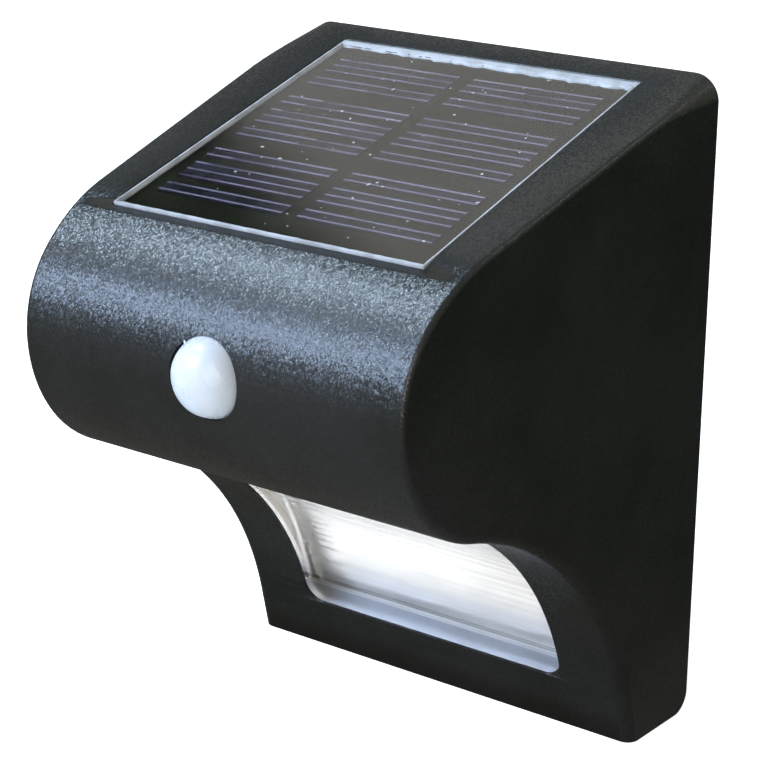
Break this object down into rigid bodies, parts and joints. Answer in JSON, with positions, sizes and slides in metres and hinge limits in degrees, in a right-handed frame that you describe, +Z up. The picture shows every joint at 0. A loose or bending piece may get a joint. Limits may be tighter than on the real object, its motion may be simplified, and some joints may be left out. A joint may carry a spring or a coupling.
{
  "type": "solar fence light with movement sensor",
  "caption": "Wall-mounted wedge-shaped solar light: sloping panel on top, rounded nose with a movement sensor, and a clear lamp window in the hollow beneath it.",
  "frame": {"origin": "middle of the flat rear face, half way up the light", "axes": "+X to the right seen from the front, +Y into the wall, +Z up"},
  "size_m": [0.09, 0.0908, 0.1232],
  "materials": {
    "black_shell": "fine spark-textured black plastic",
    "black_cover": "matte black plastic",
    "panel_base": "dark laminate",
    "pale_sealant": "pale cured sealing rim",
    "panel_sheet": "clear glossy sheet",
    "sticky_pad": "double-sided foam tape",
    "silicon": "dark brown-black silicon strip",
    "printed_line": "mauve-grey printed line",
    "clear_lens": "clear moulded plastic",
    "seal_rubber": "soft black rubber",
    "bright_plating": "bright vacuum-plated plastic",
    "screw_steel": "zinc-plated steel",
    "white_board": "white solder mask",
    "lamp_package": "white package with yellow phosphor",
    "red_wire": "red insulated wire",
    "milky_lens": "milky translucent moulded lens",
    "white_plastic": "white moulded plastic",
    "green_board": "green solder mask",
    "sensor_can": "nickel-plated can",
    "white_wire": "white insulated wire",
    "chip_resin": "black moulding resin",
    "capacitor_sleeve": "dark printed sleeve, bare of text",
    "coil_resin": "black ferrite and sleeve",
    "battery_wrap": "blue shrink wrap, bare of text",
    "holder_plastic": "black moulded plastic",
    "contact_plate": "nickel-plated spring steel",
    "switch_case": "tinned steel case",
    "switch_knob": "black moulded plastic"
  },
  "bodies": {
    "light": {"front_housing": "black_shell", "back_cover": "black_cover", "panel_board": "panel_base", "panel_rim": "pale_sealant", "panel_cover": "panel_sheet", "panel_adhesive": "sticky_pad", "solar_cells": "silicon", "cell_lines": "printed_line", "window_lens": "clear_lens", "window_seal": "seal_rubber", "reflector": "bright_plating", "reflector_screws": "screw_steel", "lamp_board": "white_board", "lamps": "lamp_package", "lamp_board_screws": "screw_steel", "lamp_leads": "red_wire", "sensor_lens": "milky_lens", "sensor_retainer": "white_plastic", "sensor_board": "green_board", "pir_sensor": "sensor_can", "sensor_screws": "screw_steel", "sensor_leads": "white_wire", "cover_seal": "seal_rubber", "cover_screws": "screw_steel", "main_board": "green_board", "board_screws": "screw_steel", "control_chip": "chip_resin", "capacitors": "capacitor_sleeve", "charging_coil": "coil_resin", "battery_cell": "battery_wrap", "battery_holder": "holder_plastic", "battery_contacts": "contact_plate", "battery_spring": "contact_plate", "switch_body": "switch_case", "panel_leads": "red_wire"},
    "switch_knob": {"switch_slider": "switch_knob"}
  },
  "joints": [
    {"name": "switch_slide", "type": "slide", "parent": "light", "child": "switch_knob", "axis": [1, 0, 0], "range_m": [0, 0.003]}
  ]
}
